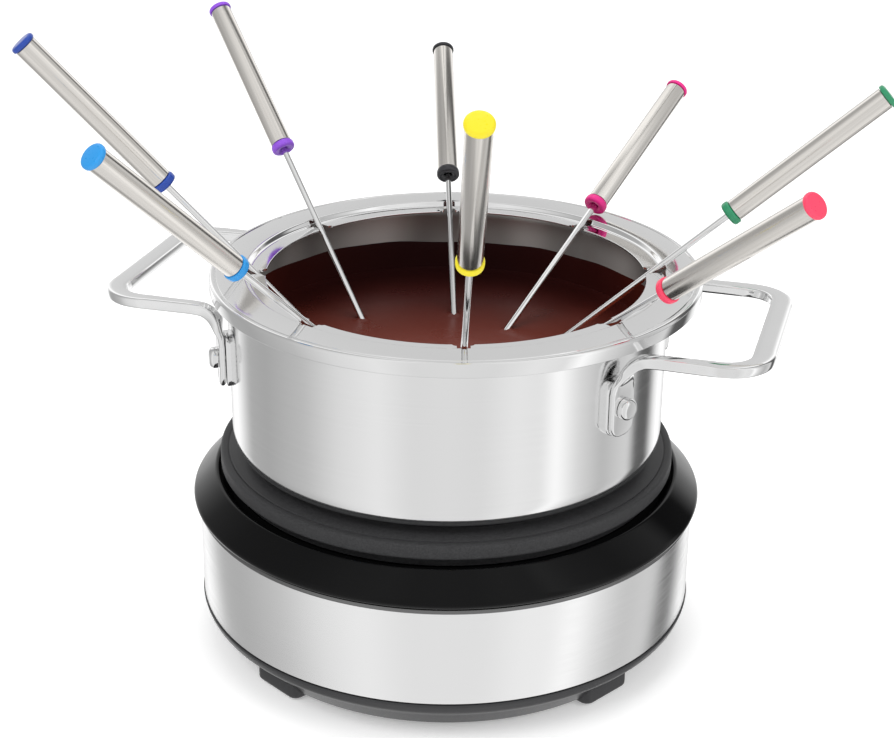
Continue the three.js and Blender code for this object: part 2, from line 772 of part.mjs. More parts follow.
// ---------------------------------------------------------------- chocolate
// Upright slot that one fork's tines need when it slides along its shaft or is lifted with the ring.
function forkSlot(details) {
  const { tip } = forkPose(details);
  const rise = radians(details.lean);
  const half = FORK.tineSpread / 2 + 0.6;
  const above = CHOCOLATE_LEVEL + 10;
  const behind = -1.5;
  const [cos, sin] = [Math.cos(rise), Math.sin(rise)];
  const low = [behind * cos + half * sin, behind * sin - half * cos];
  const high = [behind * cos - half * sin, behind * sin + half * cos];
  const shape = new THREE.Shape();
  shape.moveTo(low[0], low[1] + tip.z);
  shape.lineTo(low[0] + (above - tip.z - low[1]) / Math.tan(rise), above);
  shape.lineTo(high[0], above);
  shape.lineTo(high[0], high[1] + tip.z);
  const halfSlot = FORK.shaftRadius + 0.45;
  const upright = moved(slab(shape, -halfSlot, halfSlot), new THREE.Matrix4().makeRotationX(Math.PI / 2));
  return moved(upright, turnedTo(details.bearing).setPosition(tip.x, tip.y, 0));
}

function chocolate() {
  const inner = POT.radius - POT.wall;
  const start = POT.floor + CLEAR + 0.1;
  const fill = turned([
    [0, start],
    [inner - 6.8, start],
    [inner - 3.6, start + 1],
    [inner - 1.5, POT.bottom + 4.6],
    [inner - 0.8, POT.bottom + POT.corner],
    [inner - 0.6, CHOCOLATE_LEVEL],
    [0, CHOCOLATE_LEVEL],
  ]);
  return cut(fill, ...FORKS.map(forkSlot));
}

// ---------------------------------------------------------------- assembly
const set = new THREE.Group();

set.add(piece('base_tray', baseTray(), finishes.blackMoulded));
FOOT.bearings.forEach((bearing, k) => {
  set.add(piece(`foot_pad_${k + 1}`, footPad(bearing), finishes.rubber));
});
set.add(piece('steel_band', steelBand(), finishes.brushed));
set.add(piece('shoulder_cover', shoulderCover(), finishes.blackGloss));
set.add(piece('hot_plate', hotPlate(), finishes.cast));
set.add(piece('heating_element', heatingElement(), finishes.sheath));
set.add(piece('heat_shield', heatShield(), finishes.tinned));
set.add(piece('thermostat', thermostat(), finishes.phenolic));
set.add(piece('thermal_fuse', thermalFuse(), finishes.ceramic));
set.add(piece('terminal_block', terminalBlock(), finishes.ceramic));
set.add(piece('cord_gland', cordGland(), finishes.rubber));
set.add(piece('dial_ring', dialRing(), finishes.blackMoulded));
set.add(piece('temperature_knob', knob(), finishes.blackMoulded));
set.add(piece('knob_shaft', knobShaft(), finishes.tinned));

set.add(piece('pot_shell', potShell(), finishes.steel));
set.add(piece('pot_base_disc', potBaseDisc(), finishes.brushed));
Object.entries(HANDLE.bearings).forEach(([side, middle]) => {
  set.add(piece(`pot_handle_${side}`, potHandle(middle), finishes.steel));
});
padBearings.forEach((bearing, k) => {
  set.add(piece(`handle_rivet_${k + 1}`, rivet(bearing), finishes.steel));
});
set.add(piece('chocolate', chocolate(), finishes.chocolate));

set.add(piece('fork_rack', forkRack(), finishes.steel));
FORKS.forEach((details) => set.add(fork(details)));

export default set;
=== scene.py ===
"""Looks of the electric fondue set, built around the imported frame. Metres, +Z up, front towards -Y."""
import json
import math

import bmesh
import bpy
from mathutils import Matrix, Quaternion, Vector


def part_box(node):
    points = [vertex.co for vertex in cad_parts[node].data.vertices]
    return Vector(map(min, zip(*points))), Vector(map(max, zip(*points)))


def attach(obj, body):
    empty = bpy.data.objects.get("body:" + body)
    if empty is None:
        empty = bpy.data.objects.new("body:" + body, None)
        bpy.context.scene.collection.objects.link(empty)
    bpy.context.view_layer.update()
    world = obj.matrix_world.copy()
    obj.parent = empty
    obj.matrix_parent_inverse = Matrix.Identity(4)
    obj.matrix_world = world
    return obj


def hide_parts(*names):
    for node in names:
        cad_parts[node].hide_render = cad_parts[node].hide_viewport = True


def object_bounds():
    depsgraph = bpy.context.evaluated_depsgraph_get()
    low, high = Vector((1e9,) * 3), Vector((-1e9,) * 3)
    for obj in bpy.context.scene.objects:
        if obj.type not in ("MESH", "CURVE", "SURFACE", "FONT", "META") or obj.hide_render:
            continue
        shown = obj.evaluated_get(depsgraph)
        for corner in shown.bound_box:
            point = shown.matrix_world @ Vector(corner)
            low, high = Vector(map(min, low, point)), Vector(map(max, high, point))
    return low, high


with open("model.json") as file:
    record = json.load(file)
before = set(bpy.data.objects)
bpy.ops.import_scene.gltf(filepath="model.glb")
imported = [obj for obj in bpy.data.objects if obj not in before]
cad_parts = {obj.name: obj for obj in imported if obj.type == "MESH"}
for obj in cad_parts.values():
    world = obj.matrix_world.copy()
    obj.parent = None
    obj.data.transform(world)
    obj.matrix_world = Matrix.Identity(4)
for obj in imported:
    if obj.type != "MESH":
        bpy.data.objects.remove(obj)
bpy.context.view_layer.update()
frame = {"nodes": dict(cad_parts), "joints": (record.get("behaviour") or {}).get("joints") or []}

MM = 0.001
SIDES = 160  # facets round the large turned pieces
FINE = 40  # facets round the small turned pieces
FILLET_STEPS = 4
FORK_NAMES = ("yellow", "red", "green", "pink", "black", "purple", "blue", "cyan")

# Measures in mm from the axis or the tray's underside, and bearings in degrees, as in the CAD.
TRAY_RADIUS = 102.6
BAND_RADIUS, BAND_INNER = 102.2, 101.4
FOOT_BEARINGS, FOOT_DISTANCE = (44, 134, 224, 314), 85
KNOB_BEARING, KNOB_LEVEL = 140, 29
GLAND_BEARING, GLAND_LEVEL, GLAND_WALL = 180, 24, 98.5
RIGHT_HANDLE, LEFT_HANDLE = 74, -106
PAD_SPREAD = 28.6  # a handle's wall plates stand this far either side of its middle
PAD_WIDTH, PAD_HEIGHT, PAD_BOTTOM = 12.5, 21.7, 104.3
PAD_LEVEL = PAD_BOTTOM + PAD_HEIGHT / 2
RIVET_LEVEL = 115.8
FORK_TUBE = (141.0, 212.0)  # where a fork's handle tube starts and ends, from the tips of its tines


# ---------------------------------------------------------------- mesh helpers
def outward(bearing):
    """Unit vector that points out at a bearing in degrees, 0 at the front and 90 on the right."""
    turn = math.radians(bearing)
    return Vector((math.sin(turn), -math.cos(turn), 0))


def finish_piece(name, bm, material, body, replaced=(), smooth=40):
    """Object made from a bmesh, riding on a body; edges over the smooth angle in degrees stay sharp."""
    bmesh.ops.remove_doubles(bm, verts=bm.verts, dist=1e-7)
    bmesh.ops.recalc_face_normals(bm, faces=bm.faces)
    mesh = bpy.data.meshes.new(name)
    bm.to_mesh(mesh)
    bm.free()
    piece = bpy.data.objects.new(name, mesh)
    bpy.context.scene.collection.objects.link(piece)
    mesh.materials.append(material)
    mesh.shade_smooth()
    mesh.set_sharp_from_angle(angle=math.radians(smooth))
    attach(piece, body)
    if replaced:
        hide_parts(*replaced)
    return piece


def rounded(profile, closed=True):
    """Profile of [radius, height] or [radius, height, fillet] points in mm, with its corners filleted."""
    made = []
    count = len(profile)
    for k, point in enumerate(profile):
        here = Vector(point[:2])
        fillet = point[2] if len(point) > 2 else 0
        if not fillet or (not closed and k in (0, count - 1)):
            made.append(here)
            continue
        before = Vector(profile[k - 1][:2]) - here
        after = Vector(profile[(k + 1) % count][:2]) - here
        reach = min(fillet, before.length * 0.49, after.length * 0.49)
        start, end = here + before.normalized() * reach, here + after.normalized() * reach
        for s in range(FILLET_STEPS + 1):
            t = s / FILLET_STEPS
            made.append(start * (1 - t) ** 2 + here * 2 * t * (1 - t) + end * t * t)
    return made


def bridge(bm, a, b):
    """Faces between two rings of vertices, either of which may be a single point on the axis."""
    count = max(len(a), len(b))
    if count == 1:
        return
    for k in range(count):
        n = (k + 1) % count
        if len(a) == 1:
            bm.faces.new((a[0], b[n], b[k]))
        elif len(b) == 1:
            bm.faces.new((a[k], a[n], b[0]))
        else:
            bm.faces.new((a[k], a[n], b[n], b[k]))


def turned(profile, sides=SIDES, closed=True, place=Matrix.Identity(4)):
    """A profile in mm turned about Z; an open profile has both its ends on the axis."""
    bm = bmesh.new()
    rings = []
    for point in rounded(profile, closed):
        if point.x < 1e-6:
            rings.append([bm.verts.new(place @ Vector((0, 0, point.y * MM)))])
            continue
        ring = []
        for k in range(sides):
            turn = 2 * math.pi * k / sides
            spot = Vector((point.x * math.sin(turn), -point.x * math.cos(turn), point.y)) * MM
            ring.append(bm.verts.new(place @ spot))
        rings.append(ring)
    pairs = list(zip(rings, rings[1:]))
    if closed:
        pairs.append((rings[-1], rings[0]))
    for a, b in pairs:
        bridge(bm, a, b)
    return bm


def swept(stations, bm=None):
    """Closed tube through stations of (centre, side, up, half width, half thickness, squareness)."""
    bm = bm or bmesh.new()
    around = 28
    rings = []
    for centre, side, up, width, thick, square in stations:
        ring = []
        for k in range(around):
            turn = 2 * math.pi * k / around
            c, s = math.cos(turn), math.sin(turn)
            x = math.copysign(abs(c) ** (2 / square), c) * width
            y = math.copysign(abs(s) ** (2 / square), s) * thick
            ring.append(bm.verts.new(centre + side * x + up * y))
        rings.append(ring)
    for a, b in zip(rings, rings[1:]):
        bridge(bm, a, b)
    bm.faces.new(rings[0])
    bm.faces.new(rings[-1])
    return bm


def slab(outline, low, high):
    """Outline of (x, y) points in mm made into a sharp-edged slab between two heights."""
    part = bmesh.new()
    corners = [part.verts.new((x * MM, y * MM, low * MM)) for x, y in outline]
    lifted = bmesh.ops.extrude_face_region(part, geom=[part.faces.new(corners)])
    top = [v for v in lifted["geom"] if isinstance(v, bmesh.types.BMVert)]
    bmesh.ops.translate(part, verts=top, vec=(0, 0, (high - low) * MM))
    return part


def merge(bm, part):
    """Move everything in one bmesh into another."""
    mesh = bpy.data.meshes.new("part")
    part.to_mesh(mesh)
    part.free()
    bm.from_mesh(mesh)
    bpy.data.meshes.remove(mesh)


def plate(outline, low, high, place, bevel, bm=None):
    """A slab with its edges rounded by a bevel in mm, put in place; added to bm if one is given."""
    part = slab(outline, low, high)
    rim = [e for e in part.edges if len(e.link_faces) == 2 and e.calc_face_angle() > 1.2]
    bmesh.ops.bevel(part, geom=rim, offset=bevel * MM, segments=4, profile=0.5, affect="EDGES")
    bmesh.ops.transform(part, matrix=place, verts=part.verts)
    if bm is None:
        return part
    merge(bm, part)
    return bm


def rounded_outline(width, height, radius, steps=8):
    """Rectangle in mm with rounded corners, as (x, y) points."""
    points = []
    for quarter, (sx, sy) in enumerate(((1, -1), (1, 1), (-1, 1), (-1, -1))):
        for k in range(steps + 1):
            turn = math.radians(90 * (quarter - 1 + k / steps))
            x = sx * (width / 2 - radius) + radius * math.cos(turn)
            y = sy * (height / 2 - radius) + radius * math.sin(turn)
            points.append((x, y))
    return points


def standing(bearing, level):
    """Matrix with +Z out along a bearing and +Y up, at a height in mm."""
    out = outward(bearing)
    side = Vector((0, 0, 1)).cross(out)
    basis = Matrix((side, (0, 0, 1), out)).transposed().to_4x4()
    return Matrix.Translation((0, 0, level * MM)) @ basis


# ---------------------------------------------------------------- materials
def new_material(name, colour, roughness, metallic=0.0, coat=0.0, specular=0.5, anisotropic=0.0):
    material = bpy.data.materials.new(name)
    material.use_nodes = True
    shader = material.node_tree.nodes["Principled BSDF"]
    shader.inputs["Base Color"].default_value = (*colour, 1)
    shader.inputs["Roughness"].default_value = roughness
    shader.inputs["Metallic"].default_value = metallic
    shader.inputs["Coat Weight"].default_value = coat
    shader.inputs["Specular IOR Level"].default_value = specular
    shader.inputs["Anisotropic"].default_value = anisotropic
    return material


def fill_ramp(ramp, stops):
    """Set a new colour ramp's stops from (position, colour) pairs, left to right."""
    elements = ramp.color_ramp.elements
    for element, (position, colour) in zip((elements[0], elements[1]), (stops[0], stops[-1])):
        element.position = position
        element.color = (*colour, 1)
    for position, colour in stops[1:-1]:
        elements.new(position).color = (*colour, 1)


def grain(material, stretch, roughness, bump, distance=0.00005, tint=None, detail=4.0):
    """Noise stretched along an object's axes that varies roughness, height and, if asked, colour."""
    tree = material.node_tree
    nodes, links = tree.nodes, tree.links
    shader = nodes["Principled BSDF"]
    place = nodes.new("ShaderNodeTexCoord")
    scaled = nodes.new("ShaderNodeMapping")
    scaled.inputs["Scale"].default_value = stretch
    noise = nodes.new("ShaderNodeTexNoise")
    noise.inputs["Scale"].default_value = 1.0
    noise.inputs["Detail"].default_value = detail
    links.new(place.outputs["Object"], scaled.inputs["Vector"])
    links.new(scaled.outputs["Vector"], noise.inputs["Vector"])
    spread = nodes.new("ShaderNodeMapRange")
    spread.inputs["From Min"].default_value = 0.3
    spread.inputs["From Max"].default_value = 0.7
    spread.inputs["To Min"].default_value = roughness[0]
    spread.inputs["To Max"].default_value = roughness[1]
    links.new(noise.outputs["Fac"], spread.inputs["Value"])
    links.new(spread.outputs["Result"], shader.inputs["Roughness"])
    height = nodes.new("ShaderNodeBump")
    height.inputs["Strength"].default_value = bump
    height.inputs["Distance"].default_value = distance
    links.new(noise.outputs["Fac"], height.inputs["Height"])
    links.new(height.outputs["Normal"], shader.inputs["Normal"])
    if tint:
        ramp = nodes.new("ShaderNodeValToRGB")
        fill_ramp(ramp, ((0.3, tint[0]), (0.7, tint[1])))
        links.new(noise.outputs["Fac"], ramp.inputs["Fac"])
        links.new(ramp.outputs["Color"], shader.inputs["Base Color"])
    return material


def steel(name, roughness, stretch, bump=0.05, shade=0.78, anisotropic=0.0, spread=0.05):
    """Bare steel; an anisotropic one is brushed round Z, so its reflections stretch upright."""
    made = new_material(name, (shade, shade, shade * 1.005), roughness, 1.0, anisotropic=anisotropic)
    limits = (roughness * 0.85, roughness * 1.2)
    grain(made, stretch, limits, bump, tint=((shade * (1 - spread),) * 3, (shade * (1 + spread),) * 3))
    if anisotropic:
        tree = made.node_tree
        brushing = tree.nodes.new("ShaderNodeTangent")
        brushing.direction_type = "RADIAL"
        brushing.axis = "Z"
        tree.links.new(brushing.outputs["Tangent"], tree.nodes["Principled BSDF"].inputs["Tangent"])
    return made


ROUND = (12, 12, 1500)  # fine lines that run round a vertical axis
EVEN = (45, 45, 45)  # soft unevenness a couple of centimetres wide

polished = steel("polished_steel", 0.13, ROUND, bump=0.002, shade=0.88, anisotropic=0.5, spread=0.01)
# Inside steel: its colour holds painted reflections, soft upright bands from dark to light.
inner_steel_painted_reflections = grain(
    new_material("inner_steel_painted_reflections", (0.2, 0.2, 0.2), 0.3, 0.55), (28, 28, 3), (0.25, 0.35), 0.002,
    tint=((0.06, 0.061, 0.058), (0.75, 0.75, 0.72)), detail=1.0,
)
mirror = steel("mirror_steel", 0.08, EVEN, bump=0.0, shade=0.86, spread=0.01)
brushed_band = steel("band_steel", 0.2, ROUND, bump=0.001, shade=0.95, anisotropic=0.7, spread=0.008)
bead_steel = steel("bead_steel", 0.25, ROUND, bump=0.001, shade=0.2, spread=0.03)
tube_steel = grain(
    new_material("tube_steel", (0.8, 0.77, 0.73), 0.17, 1.0), (900, 900, 8), (0.14, 0.2), 0.002,
    tint=((0.76, 0.73, 0.69), (0.86, 0.83, 0.79)),
)
black_gloss = grain(
    new_material("black_gloss", (0.0015, 0.0015, 0.0017), 0.08, specular=0.16), EVEN, (0.06, 0.11), 0.01,
)
moulded = grain(new_material("black_moulded", (0.02, 0.02, 0.022), 0.45), (2500,) * 3, (0.4, 0.56), 0.25)
skirt = grain(new_material("skirt_plastic", (0.022, 0.022, 0.024), 0.35), (2500,) * 3, (0.3, 0.42), 0.1)
rubber = grain(new_material("rubber", (0.018, 0.018, 0.019), 0.8), (1800,) * 3, (0.7, 0.9), 0.3)
coating = grain(
    new_material("plate_coating", (0.03, 0.03, 0.031), 0.5, specular=0.3), (1600,) * 3, (0.42, 0.6), 0.35,
    tint=((0.02, 0.02, 0.021), (0.042, 0.042, 0.044)),
)
chocolate = grain(
    new_material("chocolate", (0.07, 0.012, 0.006), 0.3, coat=0.05, specular=0.2),
    EVEN, (0.26, 0.36), 0.2, 0.0005,
    tint=((0.075, 0.0105, 0.0045), (0.13, 0.0185, 0.007)),
)


PAINTED_SHADE_BACK, PAINTED_LIGHT_FRONT = 0.086, -0.07  # object Y in metres where the painted shade starts at the back and the painted light ends at the front


def paint_light_and_shade_by_depth(material, stops):
    """Painted light and shade: colour that runs from dark at the back of the pot (0) to light at its front
    (1).
    """
    tree = material.node_tree
    nodes, links = tree.nodes, tree.links
    split = nodes.new("ShaderNodeSeparateXYZ")
    links.new(nodes.new("ShaderNodeTexCoord").outputs["Object"], split.inputs["Vector"])
    share = nodes.new("ShaderNodeMapRange")
    share.inputs["From Min"].default_value = PAINTED_SHADE_BACK
    share.inputs["From Max"].default_value = PAINTED_LIGHT_FRONT
    links.new(split.outputs["Y"], share.inputs["Value"])
    painted_light_ramp = nodes.new("ShaderNodeValToRGB")
    fill_ramp(painted_light_ramp, stops)
    links.new(share.outputs["Result"], painted_light_ramp.inputs["Fac"])
    links.new(painted_light_ramp.outputs["Color"], nodes["Principled BSDF"].inputs["Base Color"])
    return material


# Painted shade at the back of the pot (0), running to painted light at its front (1).
PAINTED_SHADE_TO_LIGHT = (
    (0, (0.016, 0.0035, 0.0035)), (0.25, (0.04, 0.0065, 0.005)), (0.6, (0.13, 0.0195, 0.009)),
    (1, (0.18, 0.028, 0.01)),
)
# The chocolate's colour is this painted shade and light.
paint_light_and_shade_by_depth(chocolate, PAINTED_SHADE_TO_LIGHT)
coat = grain(
    new_material("chocolate_film", (0.1, 0.02, 0.01), 0.4, specular=0.12), EVEN, (0.34, 0.44), 0.05,
    tint=((0.045, 0.0085, 0.005), (0.09, 0.017, 0.009)),
)
# The coat on the wall takes the same painted shade and light.
paint_light_and_shade_by_depth(coat, PAINTED_SHADE_TO_LIGHT)
inner_parts = grain(new_material("inner_parts", (0.5, 0.5, 0.5), 0.5, 0.6), (900,) * 3, (0.4, 0.6), 0.1)
marking = grain(new_material("marking", (0.7, 0.7, 0.68), 0.5), (1800,) * 3, (0.42, 0.58), 0.1)
ceramic = grain(new_material("ceramic", (0.75, 0.73, 0.68), 0.7), (900,) * 3, (0.6, 0.8), 0.2)

TRIM_COLOURS = {
    "yellow": (0.78, 0.66, 0.012),
    "red": (0.85, 0.05, 0.12),
    "green": (0.02, 0.24, 0.11),
    "pink": (0.72, 0.012, 0.22),
    "black": (0.02, 0.02, 0.024),
    "purple": (0.25, 0.07, 0.62),
    "blue": (0.01, 0.05, 0.32),
    "cyan": (0.015, 0.27, 0.66),
}


def repaint(node, material):
    """Give a CAD piece that isn't rebuilt the scene's own material."""
    materials = frame["nodes"][node].data.materials
    materials.clear()
    materials.append(material)


# ---------------------------------------------------------------- base
band_low, band_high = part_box("steel_band")
band_bottom, band_top = band_low.z / MM, band_high.z / MM
ledge = band_bottom - 0.3

# The CAD's holes for the knob's shaft and the gland are left out: the dial and the gland cover them.
skirt_bm = turned([
    [0, 0], [84, 0, 0.5], [86, -6.8, 0.6], [91, -6.8, 1.2], [97.1, 1.6, 3], [101.3, 4.2, 3],
    [TRAY_RADIUS, ledge - 0.9, 0.8], [TRAY_RADIUS, ledge, 0.3], [100.9, ledge], [100.9, ledge + 1.2],
    [98.6, ledge + 1.2], [98.6, 3], [0, 3],
], closed=False)
for bearing in FOOT_BEARINGS:
    spot = outward(bearing) * FOOT_DISTANCE * MM
    place = Matrix.Translation(spot) @ Matrix.Rotation(math.radians(bearing), 4, "Z")
    plate(rounded_outline(25, 18, 4), -9.2, 1, place, 1.8, skirt_bm)
finish_piece("tray", skirt_bm, skirt, "base", ["base_tray"])
for k in range(4):
    repaint(f"foot_pad_{k + 1}", rubber)

bead = band_top - 1.8
finish_piece("band", turned([
    [BAND_INNER, band_bottom, 0.2], [BAND_RADIUS, band_bottom, 0.3], [BAND_RADIUS, band_top - 0.2, 0.1],
    [BAND_INNER, band_top - 0.2, 0.1],
]), brushed_band, "base", ["steel_band"])
finish_piece("band_bead", turned([
    [102.1, bead], [102.7, bead, 0.4], [103.0, bead + 0.6, 0.4], [103.0, band_top - 0.7, 0.5],
    [102.5, band_top, 0.4], [102.1, band_top],
]), bead_steel, "base", ())

_, shoulder_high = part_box("shoulder_cover")
top = shoulder_high.z / MM
finish_piece("shoulder", turned([
    [85.4, 59.3], [85.4, 61.3, 0.4], [93.2, 61.3, 0.4], [93.9, top, 0.5], [95.3, top, 1.6],
    [104.2, 54.6, 1.6], [104.7, 53.5, 1.2], [104.2, 51.9, 1.2], [102.7, 50.8, 0.5],
    [101.2, 50.8], [101.2, 55.5], [98.2, 57.5], [98.2, 43], [96, 43], [96, 59.3],
]), black_gloss, "base", ["shoulder_cover"])

_, plate_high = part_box("hot_plate")
top = plate_high.z / MM
finish_piece("hot_plate_top", turned([
    [0, top], [89, top], [89.6, top - 0.35, 0.3], [90.2, top, 0.3], [93, top, 1.6], [93, 65.8, 1.2],
    [89, 65.8], [89, 61.6], [84, 61.6], [84, 57], [81, 57], [81, 64.2], [0, 64.2],
], closed=False), coating, "base", ["hot_plate"])

for name, material in {
    "heating_element": inner_parts, "heat_shield": inner_parts, "thermostat": moulded,
    "thermal_fuse": ceramic, "terminal_block": ceramic, "knob_shaft": inner_parts,
}.items():
    repaint(name, material)

# Control and cord outlet at the rear, both placed by guess.
control = standing(KNOB_BEARING, KNOB_LEVEL)
dial = turned([
    [4.5, -0.2], [19, -0.9, 0.1], [19, 2.6, 0.7], [17.6, 2.6, 0.3], [17.2, 2.2, 0.2], [4.5, 2.2],
], FINE * 2, place=control @ Matrix.Translation((0, 0, TRAY_RADIUS * MM)))
ticks = bmesh.new()
TICKS, TICK_SWEEP = 11, 270
TICK_RADIUS, TICK_FACE = 16.2, 104.6
for tick in range(TICKS):
    turn = math.radians(-TICK_SWEEP / 2 + TICK_SWEEP / (TICKS - 1) * tick)
    spot = Matrix.Translation((0, TICK_RADIUS * MM, TICK_FACE * MM))
    place = control @ Matrix.Rotation(turn, 4, "Z") @ spot
    plate(rounded_outline(0.7, 2.0, 0.3, 3), 0, 0.35, place, 0.1, ticks)
finish_piece("dial", dial, moulded, "base", ["dial_ring"])
finish_piece("dial_ticks", ticks, marking, "base", ())

knob_place = control @ Matrix.Translation((0, 0, BAND_RADIUS * MM))
knob_bm = bmesh.new()
RIBS = 20
KNOB_SIDES = RIBS * 8
rings = []
for radius, height, depth in (
    (5, 3.6, 0), (14.6, 3.6, 0), (15, 4.0, 0), (15, 6.2, 0), (14.6, 6.8, 0.6), (13.9, 13.8, 0.6),
    (13.3, 15.6, 0.3), (12, 16.6, 0), (0, 16.6, 0),
):
    ring = []
    for k in range(KNOB_SIDES if radius else 1):
        turn = 2 * math.pi * k / KNOB_SIDES
        far = radius - depth * (0.5 + 0.5 * math.cos(RIBS * turn))
        spot = Vector((far * math.cos(turn), far * math.sin(turn), height)) * MM
        ring.append(knob_bm.verts.new(knob_place @ spot))
    rings.append(ring)
for a, b in zip(rings, rings[1:]):
    bridge(knob_bm, a, b)
knob_bm.faces.new(rings[0])
finish_piece("knob", knob_bm, moulded, "knob", ["temperature_knob"])
pointer_place = knob_place @ Matrix.Translation((0, 6 * MM, 0))
pointer = plate(rounded_outline(1.8, 9, 0.8, 4), 16.3, 17.2, pointer_place, 0.3)
finish_piece("knob_pointer", pointer, marking, "knob", ())

gland_place = standing(GLAND_BEARING, GLAND_LEVEL) @ Matrix.Translation((0, 0, GLAND_WALL * MM))
finish_piece("gland", turned([
    [0, -10], [6.8, -10], [6.8, 5.9], [9.8, 5.9, 0.4], [9.4, 7.2, 0.6], [8.8, 8.4, 0.7], [4.2, 8.4, 0.6],
    [4.2, 4.4], [0, 4.4],
], FINE, closed=False, place=gland_place), rubber, "base", ["cord_gland"])


# ---------------------------------------------------------------- pot
_, pot_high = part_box("pot_shell")
lip_top = pot_high.z / MM
outside = [
    [0, 74.6], [81, 74.6, 2], [86.5, 76.2, 3], [87.7, 81.6, 2], [88, 139, 2], [88.6, 142.4, 1],
    [90.2, 144.4, 1], [93.2, lip_top - 1.1, 0.4],
]
inside = [
    [93.2, lip_top, 0.3], [89.6, lip_top - 0.5, 1], [87.7, 143.4, 1], [86.9, 139.6, 1],
    [86.6, 81.6, 2], [83.7, 76.9, 2], [80.6, 75.9, 1], [0, 75.9],
]
pot_bm = turned(outside + inside, closed=False)
for middle in (RIGHT_HANDLE, LEFT_HANDLE):
    for side in (-1, 1):
        place = standing(middle + side * PAD_SPREAD, PAD_LEVEL)
        plate(rounded_outline(PAD_WIDTH, PAD_HEIGHT, 4), 87, 90, place, 0.6, pot_bm)
pot = finish_piece("pot", pot_bm, polished, "pot", ["pot_shell"])
# The wall and floor inside take the steel whose colour has painted reflections in soft upright bands.
pot.data.materials.append(inner_steel_painted_reflections)
for face in pot.data.polygons:
    spot = Vector((face.center.x, face.center.y, 0))
    if spot.length < 87.4 * MM and face.center.z > 75.5 * MM and face.normal.dot(spot) <= 0:
        face.material_index = 1

disc_low, disc_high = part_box("pot_base_disc")
finish_piece("pot_disc", turned([
    [0, disc_low.z / MM], [79, disc_low.z / MM, 0.8], [79, disc_high.z / MM, 0.2], [0, disc_high.z / MM],
], closed=False), brushed_band, "pot", ["pot_base_disc"])


def smooth_path(points, count):
    """Catmull-Rom curve through (position, weight...) tuples, evenly counted between its ends."""
    made = []
    spans = len(points) - 1
    for k in range(count + 1):
        at = min(k / count * spans, spans - 1e-9)
        n = int(at)
        t = at - n
        p = [points[max(0, min(spans, n + d))] for d in (-1, 0, 1, 2)]
        made.append(0.5 * (
            2 * p[1] + (p[2] - p[0]) * t + (2 * p[0] - 5 * p[1] + 4 * p[2] - p[3]) * t * t
            + (3 * p[1] - p[0] - 3 * p[2] + p[3]) * t ** 3
        ))
    return made


def handle(name, middle, node, rivets):
    """Flat bar bent out of its two wall plates, level to the grip; x runs out, y along the grip, z up."""
    level = 134.8
    corner = 14.0
    leg = 42.3
    reach = 129.7
    lean = math.radians(PAD_SPREAD)
    # Each knot is x, y, z, half width and half thickness.
    half = [
        Vector(point) for point in (
            (80.35, -43.8, 119.5, 6.1, 1.3), (80.4, -43.8, 123.5, 6.1, 1.35), (80.9, -43.5, 127.2, 5.0, 1.7),
            (82.6, -42.6, 131.2, 3.5, 2.2), (86.5, -leg, 134.0, 2.8, 2.4), (91.5, -leg, level, 2.8, 2.4),
            (101, -leg, level, 2.8, 2.4), (reach - corner - 5, -leg, level, 3.1, 2.4),
        )
    ]
    for k in range(5):
        turn = math.radians(90 * k / 4)
        x, y = reach - corner + corner * math.sin(turn), -leg + corner - corner * math.cos(turn)
        half.append(Vector((x, y, level, 3.3 + k * 0.25, 2.3)))
    half.append(Vector((reach, -leg + corner + 8, level, 4.3, 2.25)))
    mirrored = [Vector((p[0], -p[1], *p[2:])) for p in reversed(half)]
    path = smooth_path(half + mirrored, 190)
    turned_to = Matrix.Rotation(math.radians(middle - 90), 4, "Z")
    stations = []
    for k, knot in enumerate(path):
        point, width, thick = Vector(knot[:3]), knot[3], knot[4]
        ahead = Vector(path[min(k + 1, len(path) - 1)][:3]) - Vector(path[max(k - 1, 0)][:3])
        ahead.normalize()
        if point.x < 96:
            upright = max(0.0, min(1.0, (131.5 - point.z) / 6))
            across = Vector((
                math.sin(lean) * upright,
                -math.copysign(math.cos(lean) * upright + 1 - upright, point.y), 0,
            ))
        else:
            across = Vector((-ahead.y, ahead.x, 0))
        across.normalize()
        up = ahead.cross(across).normalized()
        stations.append((
            turned_to @ (point * MM), turned_to.to_3x3() @ across, turned_to.to_3x3() @ up,
            width * MM, thick * MM, 4.2,
        ))
    bm = swept(stations)
    for side in (-1, 1):
        place = standing(middle + side * PAD_SPREAD, PAD_LEVEL)
        plate(rounded_outline(PAD_WIDTH, PAD_HEIGHT, 5), 90.3, 92.7, place, 0.8, bm)
    finish_piece(name, bm, mirror, "pot", [node], smooth=50)
    for side, rivet in zip((-1, 1), rivets):
        place = standing(middle + side * PAD_SPREAD, RIVET_LEVEL)
        stud = turned([
            [0, 88.6], [2, 88.6], [2, 92.9], [4.3, 92.9, 0.2], [4.3, 95.2, 1.0], [3.2, 96.3, 0.6], [0, 96.4],
        ], FINE, closed=False, place=place)
        finish_piece(f"stud_{rivet[-1]}", stud, mirror, "pot", [rivet])


handle("handle_right", RIGHT_HANDLE, "pot_handle_right", ("handle_rivet_1", "handle_rivet_2"))
handle("handle_left", LEFT_HANDLE, "pot_handle_left", ("handle_rivet_3", "handle_rivet_4"))


